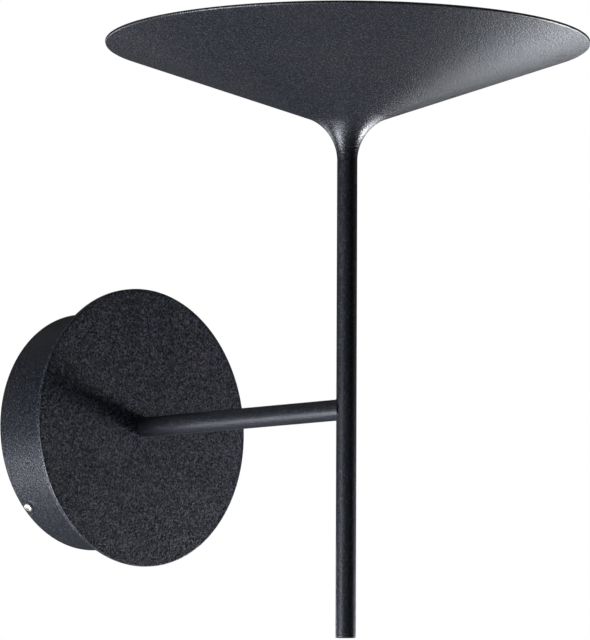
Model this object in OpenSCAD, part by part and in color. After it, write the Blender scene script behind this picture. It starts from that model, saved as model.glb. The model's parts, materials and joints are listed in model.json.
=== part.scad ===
// LED wall light: a round canopy on the wall, a straight arm, a slim stem and a trumpet shade
// that throws its light upwards. Millimetres, +Z up. The wall is the plane y = 0, the room lies
// towards -Y, and the origin is the middle of the canopy's back on the wall.

/* [Shade] */
// Outside diameter of the shade's rim
shade_d = 288; // [240:1:350]
// Height of the rim above the arm's axis
shade_rise = 218.5; // [190:0.5:270]
// Slope of the cone above level
shade_slope = 19.8; // [16:0.1:24]
// Wall of the spun shade
shade_wall = 1.2; // [0.9:0.1:1.5]
// Height of the upright lip at the rim
rim_h = 1.5; // [1:0.1:2.5]
// Rounding of the lip's lower corner
rim_round = 0.7; // [0.3:0.1:0.9]
// Radius of the flare between the neck and the cone
flare_r = 28; // [24:1:34]

/* [Stem and arm] */
// Outside diameter of the stem
stem_d = 12; // [11.5:0.1:14.5]
// Wall of the stem
stem_wall = 1; // [0.8:0.1:1.2]
// Length of the stem below the arm's axis, with its cap
stem_drop = 134.5; // [80:0.5:180]
// Thickness of the cap's visible disc
cap_t = 2; // [1:0.1:4]
// Depth of the cap's plug in the stem
plug_h = 8; // [4:0.5:14]
// Outside diameter of the arm
arm_d = 12.5; // [12:0.1:15]
// Wall of the arm
arm_wall = 1.25; // [1:0.05:1.3]
// Reach of the arm, from the front plate's face to the stem's axis
arm_reach = 176; // [120:0.5:230]
// Bore in the stem's wall that passes the lead
stem_hole_d = 8; // [6:0.5:9]

/* [Canopy] */
// Outside diameter of the drum
drum_d = 147; // [140:0.5:170]
// Depth of the drum
drum_depth = 47; // [44:0.5:70]
// Wall of the drum
drum_wall = 1.2; // [0.8:0.1:2]
// Rounding of the drum's front corner
drum_round = 2.5; // [1.5:0.1:4]
// Diameter of the front plate
plate_d = 171; // [150:0.5:210]
// Thickness of the front plate
plate_t = 3; // [2:0.1:5]
// Rounding of the front plate's edge
plate_round = 0.6; // [0.3:0.1:0.9]

/* [Canopy screws] */
// Direction of the first side screw, from +X towards +Z
screw_angle = 222.3; // [200:0.1:250]
// Distance of the side screws from the wall
screw_y = 6; // [5:0.1:9]
// Diameter of the side screws' heads
screw_head_d = 6; // [5:0.1:8]
// Height of the side screws' heads
screw_head_h = 2; // [1.5:0.1:3]
// Thread diameter of the side screws
screw_d = 3; // [2.5:0.5:4]
// Length of the side screws' shanks
screw_len = 8; // [6:0.5:12]

/* [Wall plate] */
// Diameter of the wall plate
wall_plate_d = 124; // [116:1:128]
// Thickness of the wall plate
wall_plate_t = 2; // [1.5:0.1:3]
// Distance between the two wall screw slots
slot_spacing = 80; // [60:1:90]
// Width of the wall screw slots
slot_w = 5; // [4:0.1:6]
// Length of the wall screw slots, over their round ends
slot_len = 14; // [10:0.5:18]
// Width of the folded ears
ear_w = 16; // [12:0.5:20]
// Depth of the folded ears
ear_depth = 13; // [11:0.5:18]
// Bore of the cable entry, without its grommet
entry_d = 20; // [16:0.5:22]
// Bore of the grommet
grommet_bore = 11; // [8:0.5:12]

/* [Driver and terminals] */
// Length of the LED driver
driver_w = 88; // [70:1:92]
// Height of the LED driver up the wall
driver_h = 30; // [24:0.5:32]
// Depth of the LED driver
driver_depth = 21; // [16:0.5:24]
// Height of the driver's middle above the arm's axis
driver_z = 33; // [31:0.5:34]
// Width of one pole of the terminal block
pole_w = 9; // [8:0.5:10]
// Length of the terminal block along its wires
block_len = 20; // [16:0.5:22]
// Depth of the terminal block
block_depth = 14; // [11:0.5:16]
// Height of the terminal block's middle, below the arm's axis
block_z = 33; // [30:0.5:36]

/* [Light source] */
// Outside diameter of the carrier's flat
carrier_d = 146; // [130:1:156]
// Thickness of the carrier's flat
carrier_t = 2.5; // [2:0.1:4]
// Length of the carrier's flange along the cone
flange_len = 12; // [6:0.5:16]
// Outside diameter of the LED board
board_d = 128; // [110:1:130]
// Diameter of the hole in the LED board
board_hole_d = 34; // [30:0.5:38]
// Thickness of the LED board
board_t = 1.6; // [1:0.1:2]
// Thickness of the thermal pad
pad_t = 0.5; // [0.3:0.1:1]
// Side of one LED
led_w = 3; // [2:0.1:3.5]
// Height of one LED
led_h = 0.7; // [0.5:0.1:1.2]
// Diameter of the opal diffuser
diffuser_d = 236; // [220:1:250]
// Thickness of the opal diffuser
diffuser_t = 2.5; // [1.5:0.1:3]
// Thickness of the retaining ring
retainer_t = 1.2; // [0.8:0.1:2]
// Width of the retaining ring
retainer_w = 17; // [14:0.5:20]

/* [Threaded parts] */
// Bore of the nipple between the arm and the canopy
arm_nipple_bore = 7; // [6:0.1:7.5]
// Outside diameter of the nipple through the shade
shade_nipple_d = 8; // [7:0.1:8.4]
// Bore of the nipple through the shade
shade_nipple_bore = 5.4; // [4.6:0.1:5.8]
// Distance across the flats of the arm's nut
arm_nut_af = 14; // [13:0.5:17]
// Distance across the flats of the shade's nut
shade_nut_af = 12; // [11:0.5:14]
// Height of the neck bush's foot above the neck's end
neck_bush_low = 12; // [9:0.5:14]
// Height of the neck bush's top above the neck's end
neck_bush_high = 22; // [18:0.5:24]
// Thickness of both nuts
nut_t = 4; // [3:0.5:6]
// Thickness of the washers
washer_t = 1; // [0.6:0.1:1.5]
// Depth that each nipple is screwed in
thread_in = 13; // [8:0.5:18]

/* [Leads] */
// Diameter of the lead to the LEDs
lead_d = 3.2; // [2.6:0.1:4]
// Diameter of the single wires
wire_d = 2; // [1.6:0.1:2.4]

/* [Clearances] */
// Gap where one piece seats on another
seat_gap = 0.05; // [0.03:0.01:0.1]
// Gap round a screw, nipple or lead in its hole
hole_gap = 0.2; // [0.1:0.05:0.3]
// Gap between a cover and what stands inside it
cover_gap = 0.4; // [0.3:0.05:0.8]

/* [Hidden] */
$fn = 96;
eps = 0.5;

paint = "#1d1e20";
steel = "silver";
brass = "#b58b3c";

drum_r = drum_d / 2;
plate_face = drum_depth + plate_t;
stem_y = plate_face + arm_reach;
stem_r = stem_d / 2;
stem_bore_r = stem_r - stem_wall;
arm_r = arm_d / 2;
arm_bore_r = arm_r - arm_wall;
arm_nipple_d = 2 * (arm_bore_r - seat_gap);

// The shade's outline, as radius and height
rim_r = shade_d / 2;
rim_z = shade_rise;
lip_z = rim_z - rim_h;
slope_tan = tan(shade_slope);
corner_z = lip_z - (rim_r - stem_r) * slope_tan;
neck_z = corner_z - flare_r * tan((90 - shade_slope) / 2);
flare_centre = [stem_r + flare_r, neck_z];
flare_dir = [-sin(shade_slope), cos(shade_slope)];
function outer_z(r) = lip_z - (rim_r - r) * slope_tan;
function inner_z(r) = outer_z(r) + shade_wall / cos(shade_slope);

// Heights of the light source's pieces
seat_rise = seat_gap / cos(shade_slope);
carrier_z = inner_z(carrier_d / 2) + seat_rise;
pad_z = carrier_z + carrier_t;
board_z = pad_z + pad_t;
board_top = board_z + board_t;
diffuser_r = diffuser_d / 2;
ledge_h = 1.3;
ledge_w = 10;
upstand_w = 7.5;
ledge_z = inner_z(diffuser_r) + ledge_h;
diffuser_top = ledge_z + diffuser_t;
retainer_r = diffuser_r + cover_gap + upstand_w;
shade_nut_z = pad_z + washer_t;
shade_nipple_top = shade_nut_z + nut_t + 1;

// Screw pitch circles and small fasteners. A tapped hole is a little under the screw's size,
// and the shank is a little under its hole.
small_screw_d = 3;
small_tap_d = small_screw_d - 0.4;
small_shank_d = small_screw_d - 0.5;
small_clear_d = small_screw_d + hole_gap;
small_head_d = 5.4;
small_head_h = 1.6;
board_screw_r = 37;
board_screw_count = 3;
retainer_screw_count = 3;
retainer_screw_d = 2.5;
retainer_tap_d = retainer_screw_d - 0.3;
retainer_shank_d = retainer_screw_d - 0.4;
retainer_head_d = 4.4;
retainer_head_h = 1.4;
retainer_screw_in = 1.4;
retainer_screw_r = diffuser_r + cover_gap + upstand_w / 2;
led_rings = [[24.5, 8], [44, 15], [56, 20]];
connector_size = [8, 12, 5];
connector_r = 36;
connector_angle = 90;

// The driver and the terminal block on the wall plate
lug_w = 8;
lug_t = 3;
lug_h = 12;
driver_screw_x = driver_w / 2 + lug_w / 2;
driver_back = wall_plate_t + seat_gap;
poles = 3;
block_w = poles * pole_w;
block_fix = [0, -block_z];
earth_pos = [34, -22];
ear_outer = sqrt(pow(drum_r - drum_wall - cover_gap, 2) - pow(ear_w / 2, 2));
earth_washer_t = 0.8;
earth_washer_d = 6.8;
tag_t = 0.8;
tag_w = 3;
tag_len = 10;
tag_eye_d = 7;
block_well_d = 4;
block_well_h = 4;

// The canopy's clamp: plate, drum, washer and nut on the arm's nipple
drum_front_t = 1.5;
arm_washer_y = drum_depth - drum_front_t;
arm_nut_y = arm_washer_y - washer_t;
arm_nipple_back = arm_nut_y - nut_t - 2;

// The lead's route, from the driver through the arm and up the stem to the board
lead_bend = 10;
lead_exit = [driver_w / 2 + 0.1, -13, driver_z - 9];
lead_start = [
    lead_exit, lead_exit + [4, 0, 0], [53, -15.5, 20], [55, -21, 13], [51, -27, 5],
    [42, -30, 0], [31, -30.5, -1], [20, -30, -0.5], [10, -29, 0], [4, -30.5, 0], [1, -34, 0]
];
lead_arm = [for (y = [39 : 9 : stem_y - lead_bend - 4]) [0, -y, 0]];
lead_corner = [for (a = [0 : 18 : 90])
    [0, -stem_y + lead_bend - lead_bend * sin(a), lead_bend - lead_bend * cos(a)]];
lead_top = shade_nipple_top + 0.5;
lead_stem = [for (z = [lead_bend + 8 : 9 : lead_top - 5]) [0, -stem_y, z]];
lead_end = [
    [0, -stem_y, lead_top], [0, -stem_y + 1.4, lead_top + 2.4], [0, -stem_y + 4.8, lead_top + 3.8],
    [0, -stem_y + 9.5, lead_top + 3.8], [0, -stem_y + 14, lead_top + 2.6], [0, -stem_y + 20, lead_top],
    [0, -stem_y + 25, board_top + connector_size[2] / 2],
    [0, -stem_y + connector_r - connector_size[1] / 2 - 0.1, board_top + connector_size[2] / 2]
];
lead_route = concat(lead_start, lead_arm, lead_corner, lead_stem, lead_end);

wire_y = -wall_plate_t - 6;
block_top = -block_z + block_len / 2;
live_route = [[-driver_w / 2 - 0.1, wire_y - 6, 38], [-48, wire_y - 6, 38], [-53, wire_y - 6, 32],
    [-53.5, wire_y - 6, 24], [-50, wire_y - 6, 14], [-43, wire_y - 5, 5], [-33, wire_y - 3, -3],
    [-22, wire_y - 1, -9], [-14, wire_y, -14], [-pole_w, wire_y, -18], [-pole_w, wire_y, block_top]];
neutral_route = [[-driver_w / 2 - 0.1, wire_y - 6, 26], [-46.5, wire_y - 6, 26], [-49, wire_y - 6, 21],
    [-44, wire_y - 6, 11], [-35, wire_y - 5, 4], [-24, wire_y - 4, -1], [-12, wire_y - 3, -5],
    [-4, wire_y - 1, -10], [0, wire_y, -16], [0, wire_y, block_top]];
earth_route = [[earth_pos[0] - tag_len - 0.1, -wall_plate_t - wire_d / 2 - 0.1, earth_pos[1]],
    [21, -3.2, -21.5], [17, -4, -18], [13, -6, -15.5], [10, wire_y, -17], [pole_w, wire_y, -20],
    [pole_w, wire_y, block_top]];

// Vector help for the swept leads
function unit(v) = v / norm(v);
function across(v, t) = unit(v - (v * t) * t);
function tangent(p, i) = unit(p[min(i + 1, len(p) - 1)] - p[max(i - 1, 0)]);
function sides_of(p, first) = [for (i = 0, n = across(first, tangent(p, 0)); i < len(p);
    i = i + 1, n = i < len(p) ? across(n, tangent(p, i)) : n) n];
function ring(c, n, b, r, sides) = [for (k = [0 : sides - 1])
    c + r * (cos(360 * k / sides) * n + sin(360 * k / sides) * b)];

// A tube of round section along a list of points
module swept_tube(path, d, first, sides = 8) {
    normals = sides_of(path, first);
    count = len(path);
    points = [for (i = [0 : count - 1])
        each ring(path[i], normals[i], cross(tangent(path, i), normals[i]), d / 2, sides)];
    walls = [for (i = [0 : count - 2], k = [0 : sides - 1])
        let (a = i * sides + k, b = i * sides + (k + 1) % sides)
        each [[a, b + sides, b], [a, a + sides, b + sides]]];
    start = [for (k = [1 : sides - 2]) [0, k, k + 1]];
    last = (count - 1) * sides;
    end = [for (k = [1 : sides - 2]) [last, last + k + 1, last + k]];
    polyhedron(points = points, faces = concat(walls, start, end), convexity = 6);
}

// Lays a shape that is drawn upwards so that it runs from the wall into the room
module from_wall(y = 0) translate([0, -y, 0]) rotate([90, 0, 0]) children();

// Puts a shape at a place on the wall, given as x and z
module on_wall(p) translate([p[0], 0, p[1]]) children();

module at_stem() translate([0, -stem_y, 0]) children();

module disc(r, h, bore = 0) {
    difference() {
        cylinder(r = r, h = h);
        if (bore > 0) translate([0, 0, -eps]) cylinder(r = bore, h = h + 2 * eps);
    }
}

// A hexagon nut with both ends of its corners turned off
module hex_nut(af, h, bore) {
    corner_r = af / 2 / cos(30);
    reach = corner_r + eps;
    drop = (reach - af / 2) * tan(30);
    difference() {
        cylinder(r = corner_r, h = h, $fn = 6);
        translate([0, 0, -eps]) cylinder(r = bore, h = h + 2 * eps);
        for (side = [0, 1]) translate([0, 0, side * h]) mirror([0, 0, side]) rotate_extrude()
            polygon([[af / 2, 0], [reach, drop], [reach, -eps], [af / 2, -eps]]);
    }
}

// A screw that points down, with its head's underside at height 0 and a cross recess on top
module pan_screw(d, length, head_d, head_h) {
    recess_len = head_d * 0.62;
    recess_w = head_d * 0.13;
    recess_h = head_h * 0.5;
    translate([0, 0, -length]) cylinder(d = d, h = length + eps);
    difference() {
        rotate_extrude() polygon([[0, 0], [head_d / 2, 0], [head_d / 2, head_h * 0.55],
            [head_d * 0.41, head_h * 0.85], [head_d * 0.25, head_h], [0, head_h]]);
        for (turn = [0, 90]) rotate(turn)
            translate([-recess_len / 2, -recess_w / 2, head_h - recess_h])
                cube([recess_len, recess_w, head_h]);
    }
}

module slot(width, length, h) {
    run = length - width;
    translate([-run / 2, 0, 0]) cylinder(d = width, h = h);
    translate([run / 2, 0, 0]) cylinder(d = width, h = h);
    translate([-run / 2, -width / 2, 0]) cube([run, width, h]);
}

module side_by_side(distance) for (s = [-1, 1]) translate([s * distance / 2, 0, 0]) children();

// Turns a shape, drawn along +X, to each of the two side screws
module at_screws() for (a = [screw_angle, screw_angle - 180]) rotate([0, -a, 0]) children();

// One folded ear of the wall plate, drawn along +X
module ear() {
    root = 4;
    inner = wall_plate_d / 2 - root;
    translate([inner, -wall_plate_t, -ear_w / 2]) cube([ear_outer - inner, wall_plate_t, ear_w]);
    difference() {
        translate([ear_outer - wall_plate_t, -ear_depth, -ear_w / 2])
            cube([wall_plate_t, ear_depth, ear_w]);
        translate([ear_outer - wall_plate_t - eps, -screw_y, 0]) rotate([0, 90, 0])
            cylinder(d = screw_d + hole_gap / 2, h = wall_plate_t + 2 * eps);
    }
}

// Wall plate: a stamped disc with slots for the wall screws and two folded ears for the canopy
module wall_plate() {
    through = wall_plate_t + 2 * eps;
    color(steel) difference() {
        union() {
            from_wall() cylinder(d = wall_plate_d, h = wall_plate_t);
            at_screws() ear();
        }
        from_wall(-eps) {
            cylinder(d = entry_d, h = through);
            side_by_side(slot_spacing) slot(slot_w, slot_len, through);
            for (p = [[-driver_screw_x, driver_z], [driver_screw_x, driver_z], block_fix, earth_pos])
                translate(p) cylinder(d = small_tap_d, h = through);
        }
    }
}

// Grommet: a rubber bush in the cable entry, with a flange on the room side
module cable_grommet() {
    bore_r = grommet_bore / 2;
    groove_r = entry_d / 2 - seat_gap;
    flange_r = entry_d / 2 + 2;
    back = 0.2;
    front = wall_plate_t + seat_gap;
    flange_top = front + 1.5;
    lip_top = flange_top + 1;
    lip_w = 0.8;
    bevel = 0.5;
    color("#2a2a2a") from_wall() rotate_extrude() polygon([
        [bore_r, back], [groove_r, back], [groove_r, front], [flange_r, front],
        [flange_r, flange_top - bevel], [flange_r - bevel, flange_top],
        [bore_r + lip_w, lip_top], [bore_r, lip_top]]);
}

// Canopy drum: a spun cup with its open side on the wall
module drum_profile() {
    difference() {
        square([drum_r, drum_depth]);
        translate([-eps, -eps])
            square([drum_r - drum_wall + eps, drum_depth - drum_front_t + eps]);
        translate([-eps, drum_depth - drum_front_t - eps])
            square([arm_nipple_d / 2 + hole_gap + eps, drum_front_t + 2 * eps]);
        translate([drum_r - drum_round, drum_depth - drum_round]) difference() {
            square(drum_round + eps);
            circle(drum_round);
        }
    }
}

module canopy_drum() {
    color(paint) difference() {
        from_wall() rotate_extrude() drum_profile();
        at_screws() translate([ear_outer, -screw_y, 0]) rotate([0, 90, 0])
            cylinder(d = screw_d + 2 * hole_gap, h = drum_wall + cover_gap + eps);
    }
}

module front_plate_profile() {
    r = plate_d / 2;
    difference() {
        translate([arm_nipple_d / 2 + hole_gap, 0])
            square([r - arm_nipple_d / 2 - hole_gap, plate_t]);
        for (side = [0, 1]) mirror([0, side])
            translate([r - plate_round, plate_t * (1 - side) - plate_round]) difference() {
                square(plate_round + eps);
                circle(plate_round);
            }
    }
}

// Front plate: a flat disc, wider than the drum, with rounded edges
module front_plate() {
    color(paint) from_wall(drum_depth) rotate_extrude() front_plate_profile();
}

// Side screws that hold the drum on the wall plate's ears
module canopy_screws() {
    seat = drum_r + seat_gap;
    color(steel) at_screws() translate([seat, -screw_y, 0]) rotate([0, 90, 0])
        pan_screw(screw_d, screw_len, screw_head_d, screw_head_h);
}

// Puts a shape round a lead where it leaves the driver's end, drawn upwards and off the case
module at_outlet(o) translate([o[0] * driver_w / 2, o[1][1], o[1][2]]) rotate([0, o[0] * 90, 0]) children();

// LED driver: a closed moulded case on two lugs, with a collar round each lead where it leaves
module driver_case() {
    corner = 2;
    collar_h = 2;
    collar_w = 1.2;
    outlets = [[1, lead_exit, lead_d], [-1, live_route[0], wire_d], [-1, neutral_route[0], wire_d]];
    color("white") difference() {
        union() {
            hull() for (x = [-1, 1], z = [-1, 1])
                translate([x * (driver_w / 2 - corner), 0, driver_z + z * (driver_h / 2 - corner)])
                    from_wall(driver_back) {
                        cylinder(r = corner, h = driver_depth - 1, $fn = 24);
                        cylinder(r = corner - 1, h = driver_depth, $fn = 24);
                    }
            translate([-driver_w / 2 - lug_w, -driver_back - lug_t, driver_z - lug_h / 2])
                cube([driver_w + 2 * lug_w, lug_t, lug_h]);
            for (o = outlets) at_outlet(o) translate([0, 0, -eps])
                cylinder(d = o[2] + 2 * (hole_gap + collar_w), h = collar_h + eps);
        }
        for (o = outlets) at_outlet(o) translate([0, 0, -hole_gap])
            cylinder(d = o[2] + 2 * hole_gap, h = hole_gap + collar_h + eps);
        for (x = [-driver_screw_x, driver_screw_x]) translate([x, 0, driver_z])
            from_wall(driver_back - eps) cylinder(d = small_clear_d, h = lug_t + 2 * eps);
    }
}

module driver_screws() {
    head_y = driver_back + lug_t + seat_gap;
    color(steel) for (x = [-driver_screw_x, driver_screw_x]) translate([x, 0, driver_z])
        from_wall(head_y) pan_screw(small_shank_d, lug_t + wall_plate_t, small_head_d, small_head_h);
}

// Terminal block: three poles in a row, open at the top and bottom for the wires
module terminal_block() {
    bore_d = wire_d + 1;
    back = wall_plate_t + seat_gap;
    groove = 1;
    web_w = 2 * groove;
    web_inset = 2;
    core = 2;
    bore_len = block_len / 2 - core + eps;
    color("ivory") difference() {
        for (i = [-1 : 1]) translate([i * pole_w, 0, -block_z]) {
            translate([(groove - pole_w) / 2, -back - block_depth, -block_len / 2])
                cube([pole_w - groove, block_depth, block_len]);
            if (i < 1)
                translate([(pole_w - web_w) / 2, -back - block_depth / 2, web_inset - block_len / 2])
                    cube([web_w, block_depth / 2, block_len - 2 * web_inset]);
        }
        for (i = [-1 : 1], side = [0, 1]) translate([i * pole_w, 0, -block_z]) mirror([0, 0, side]) {
            translate([0, wire_y, core]) cylinder(d = bore_d, h = bore_len);
            translate([0, 0, block_len / 4])
                from_wall(back + block_depth - block_well_h)
                    cylinder(d = block_well_d, h = block_well_h + eps);
        }
        translate([0, 0, -block_z]) from_wall(back - eps)
            cylinder(d = small_clear_d, h = block_depth + 2 * eps);
    }
}

module terminal_screws() {
    bottom = wall_plate_t + seat_gap + block_depth - block_well_h;
    grub_d = block_well_d - 2 * hole_gap;
    grub_h = 2.5;
    cut_w = 0.6;
    cut_h = 0.8;
    color(steel) for (i = [-1 : 1], z = [-1, 1])
        translate([i * pole_w, 0, -block_z + z * block_len / 4]) from_wall(bottom + seat_gap)
            difference() {
                cylinder(d = grub_d, h = grub_h);
                translate([-grub_d, -cut_w / 2, grub_h - cut_h]) cube([2 * grub_d, cut_w, grub_h]);
            }
}

module block_fixing_screw() {
    head_y = wall_plate_t + block_depth + 2 * seat_gap;
    head_d = 4.2;
    color(steel) on_wall(block_fix) from_wall(head_y)
        pan_screw(small_shank_d, block_depth + wall_plate_t, head_d, small_head_h);
}

// Earth point on the wall plate
module earth_tag() {
    color(brass) on_wall(earth_pos) from_wall(wall_plate_t + seat_gap) difference() {
        union() {
            cylinder(d = tag_eye_d, h = tag_t);
            translate([-tag_len, -tag_w / 2, 0]) cube([tag_len, tag_w, tag_t]);
        }
        translate([0, 0, -eps]) cylinder(d = small_clear_d, h = tag_t + 2 * eps);
    }
}

module earth_washer() {
    color(steel) on_wall(earth_pos) from_wall(wall_plate_t + tag_t + 2 * seat_gap)
        disc(earth_washer_d / 2, earth_washer_t, small_clear_d / 2);
}

module earth_screw() {
    head_y = wall_plate_t + tag_t + earth_washer_t + 3 * seat_gap;
    color("#3f8f4a") on_wall(earth_pos) from_wall(head_y)
        pan_screw(small_shank_d, head_y - hole_gap, small_head_d, small_head_h);
}

module earth_wire() color("yellowgreen") swept_tube(earth_route, wire_d, [0, 1, 0]);

module live_wire() color("saddlebrown") swept_tube(live_route, wire_d, [0, 1, 0]);

module neutral_wire() color("royalblue") swept_tube(neutral_route, wire_d, [0, 1, 0]);

// Arm: a tube whose far end is coped to the round of the stem
module arm_tube() {
    start = plate_face + seat_gap;
    end = stem_y - stem_r / 3;
    color(paint) difference() {
        from_wall(start) disc(arm_r, end - start, arm_bore_r);
        at_stem() translate([0, 0, -arm_d]) cylinder(r = stem_r + seat_gap, h = 2 * arm_d);
    }
}

module arm_nipple() {
    color(brass) from_wall(arm_nipple_back)
        disc(arm_nipple_d / 2, plate_face + thread_in - arm_nipple_back, arm_nipple_bore / 2);
}

// Toothed washer: a ring with a row of notches round its edge
module toothed_washer(r, bore) {
    teeth = 12;
    notch = 1;
    h = washer_t - 2 * seat_gap;
    translate([0, 0, seat_gap]) difference() {
        disc(r, h, bore);
        for (i = [0 : teeth - 1]) rotate(i * 360 / teeth)
            translate([r - notch, -notch / 2, -eps]) cube([2 * notch, notch, h + 2 * eps]);
    }
}

module arm_washer() {
    color(steel) from_wall(arm_nut_y)
        toothed_washer(arm_nut_af * 0.62, arm_nipple_d / 2 + hole_gap);
}

module arm_nut() {
    color(steel) from_wall(arm_nut_y - nut_t) hex_nut(arm_nut_af, nut_t, arm_nipple_d / 2 + seat_gap);
}

// Stem: one straight tube, closed below by its cap and above by a threaded bush
module stem_tube() {
    foot = -stem_drop + cap_t + seat_gap;
    color(paint) difference() {
        at_stem() translate([0, 0, foot]) disc(stem_r, neck_z - foot - seat_gap, stem_bore_r);
        translate([0, -stem_y + stem_r + eps, 0]) rotate([90, 0, 0])
            cylinder(d = stem_hole_d, h = stem_wall + 2 * eps);
    }
}

module stem_end_cap() {
    chamfer = 0.4;
    lead_in = 0.8;
    plug_r = stem_bore_r - seat_gap;
    top = cap_t + plug_h;
    color(paint) at_stem() translate([0, 0, -stem_drop]) rotate_extrude() polygon([
        [0, 0], [stem_r - chamfer, 0], [stem_r, chamfer], [stem_r, cap_t], [plug_r, cap_t],
        [plug_r, top - lead_in], [plug_r - lead_in, top], [0, top]]);
}

module stem_bush() {
    below = 2;
    color(brass) at_stem() translate([0, 0, neck_z - thread_in - below])
        disc(stem_bore_r - seat_gap, thread_in + below - 2 * seat_gap, shade_nipple_d / 2 + seat_gap);
}

// Shade: a spun trumpet. Its outline is a straight cone that an arc blends into the neck,
// and the inner outline keeps the wall's thickness everywhere.
module trumpet(grow, foot, top) {
    r = rim_r - grow;
    edge_z = lip_z - grow * slope_tan + grow / cos(shade_slope);
    difference() {
        polygon([[0, foot], [flare_centre[0], foot], flare_centre,
            flare_centre + (flare_r + grow) * flare_dir, [r, edge_z], [r, top], [0, top]]);
        translate(flare_centre) circle(flare_r + grow);
    }
}

module shade_shell() {
    half = (90 - shade_slope) / 2;
    back = rim_round * tan(half);
    corner = [rim_r, lip_z];
    color(paint) at_stem() rotate_extrude($fn = 180) difference() {
        trumpet(0, neck_z, rim_z);
        trumpet(shade_wall, neck_z - eps, rim_z + eps);
        difference() {
            polygon([corner, corner + [0, back], corner + [-rim_round, back],
                corner - back * [cos(shade_slope), sin(shade_slope)]]);
            translate(corner + [-rim_round, back]) circle(rim_round);
        }
    }
}

// Neck bush: a turned cone that fills the flare and centres the nipple
module neck_bush() {
    bore_r = shade_nipple_d / 2 + seat_gap;
    reach = flare_r + shade_wall + seat_gap;
    top_r = flare_centre[0] - sqrt(pow(reach, 2) - pow(neck_bush_high, 2));
    color(brass) at_stem() rotate_extrude() difference() {
        translate([bore_r, neck_z + neck_bush_low])
            square([top_r - bore_r, neck_bush_high - neck_bush_low]);
        translate(flare_centre) circle(reach);
    }
}

module shade_nipple() {
    color(brass) at_stem() translate([0, 0, neck_z - thread_in])
        disc(shade_nipple_d / 2, shade_nipple_top - neck_z + thread_in, shade_nipple_bore / 2);
}

module shade_washer() {
    color(steel) at_stem() translate([0, 0, pad_z])
        toothed_washer(shade_nut_af * 0.64, shade_nipple_d / 2 + hole_gap);
}

module shade_nut() {
    color(steel) at_stem() translate([0, 0, shade_nut_z])
        hex_nut(shade_nut_af, nut_t, shade_nipple_d / 2 + seat_gap);
}

// Carrier: a pressed aluminium dish that lies on the cone and takes the heat to the shade
module led_carrier() {
    flange_t = 1.5;
    bore_r = shade_nipple_d / 2 + hole_gap;
    start = [carrier_d / 2, carrier_z];
    rim = start + flange_len * [cos(shade_slope), sin(shade_slope)];
    color("gainsboro") difference() {
        at_stem() rotate_extrude() polygon([[bore_r, carrier_z], start, rim, rim + flange_t * flare_dir,
            start + [-1, carrier_t], [bore_r, carrier_z + carrier_t]]);
        at_board_screws() translate([0, 0, carrier_z - eps])
            cylinder(d = small_tap_d, h = carrier_t + 2 * eps);
    }
}

module at_board_screws() {
    at_stem() for (i = [0 : board_screw_count - 1])
        rotate(30 + i * 360 / board_screw_count) translate([board_screw_r, 0, 0]) children();
}

module thermal_pad() {
    inset = 1;
    film = 0.02;
    color("lightgray") difference() {
        at_stem() translate([0, 0, pad_z + film])
            disc(board_d / 2 - inset, pad_t - 2 * film, board_hole_d / 2 + inset);
        at_board_screws() translate([0, 0, pad_z - eps])
            cylinder(d = small_screw_d + inset, h = pad_t + 2 * eps);
    }
}

module led_board() {
    color("white") difference() {
        at_stem() translate([0, 0, board_z]) disc(board_d / 2, board_t, board_hole_d / 2);
        at_board_screws() translate([0, 0, board_z - eps])
            cylinder(d = small_clear_d, h = board_t + 2 * eps);
    }
}

module led_chips() {
    solder = 0.02;
    color("gold") at_stem() for (row = led_rings, i = [0 : row[1] - 1])
        rotate(connector_angle + (i + 0.5) * 360 / row[1])
            translate([row[0] - led_w / 2, -led_w / 2, board_top + solder])
                cube([led_w, led_w, led_h]);
}

module led_connector() {
    size = connector_size;
    face = connector_r - size[1] / 2;
    socket_depth = 1.5;
    color("ivory") at_stem() rotate(connector_angle) difference() {
        translate([face, -size[0] / 2, board_top + seat_gap])
            cube([size[1], size[0], size[2] - seat_gap]);
        translate([face - eps, 0, board_top + size[2] / 2])
            rotate([0, 90, 0]) cylinder(d = lead_d + 2 * hole_gap, h = socket_depth + eps);
    }
}

module board_screws() {
    color(steel) at_board_screws() translate([0, 0, board_top + seat_gap])
        pan_screw(small_shank_d, board_t + pad_t + carrier_t - hole_gap, small_head_d, small_head_h);
}

// Diffuser seat: a ring on the cone with a ledge for the opal disc and an upstand for the screws
module diffuser_seat() {
    in_r = diffuser_r - ledge_w;
    out_r = retainer_r;
    wall_r = diffuser_r + cover_gap;
    color(paint) difference() {
        at_stem() rotate_extrude($fn = 180) polygon([
            [in_r, inner_z(in_r) + seat_rise], [out_r, inner_z(out_r) + seat_rise],
            [out_r, diffuser_top - seat_gap], [wall_r, diffuser_top - seat_gap],
            [wall_r, ledge_z], [in_r, ledge_z]]);
        at_retainer_screws() translate([0, 0, diffuser_top - retainer_screw_in - hole_gap])
            cylinder(d = retainer_tap_d, h = retainer_screw_in + hole_gap + eps);
    }
}

module at_retainer_screws() {
    at_stem() for (i = [0 : retainer_screw_count - 1])
        rotate(90 + i * 360 / retainer_screw_count) translate([retainer_screw_r, 0, 0]) children();
}

module diffuser() {
    color("whitesmoke") at_stem() translate([0, 0, ledge_z + seat_gap])
        cylinder(r = diffuser_r, h = diffuser_t - 2 * seat_gap, $fn = 180);
}

module diffuser_retainer() {
    overhang = 0.8;
    out_r = retainer_r + overhang;
    in_r = out_r - retainer_w;
    low = diffuser_top;
    high = diffuser_top + retainer_t;
    bevel = 0.5;
    color(paint) difference() {
        at_stem() rotate_extrude($fn = 180) polygon([[in_r, low], [out_r, low],
            [out_r, high - bevel], [out_r - bevel, high], [in_r + bevel, high], [in_r, high - bevel]]);
        at_retainer_screws() translate([0, 0, low - eps])
            cylinder(d = retainer_screw_d + hole_gap, h = retainer_t + 2 * eps);
    }
}

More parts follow.
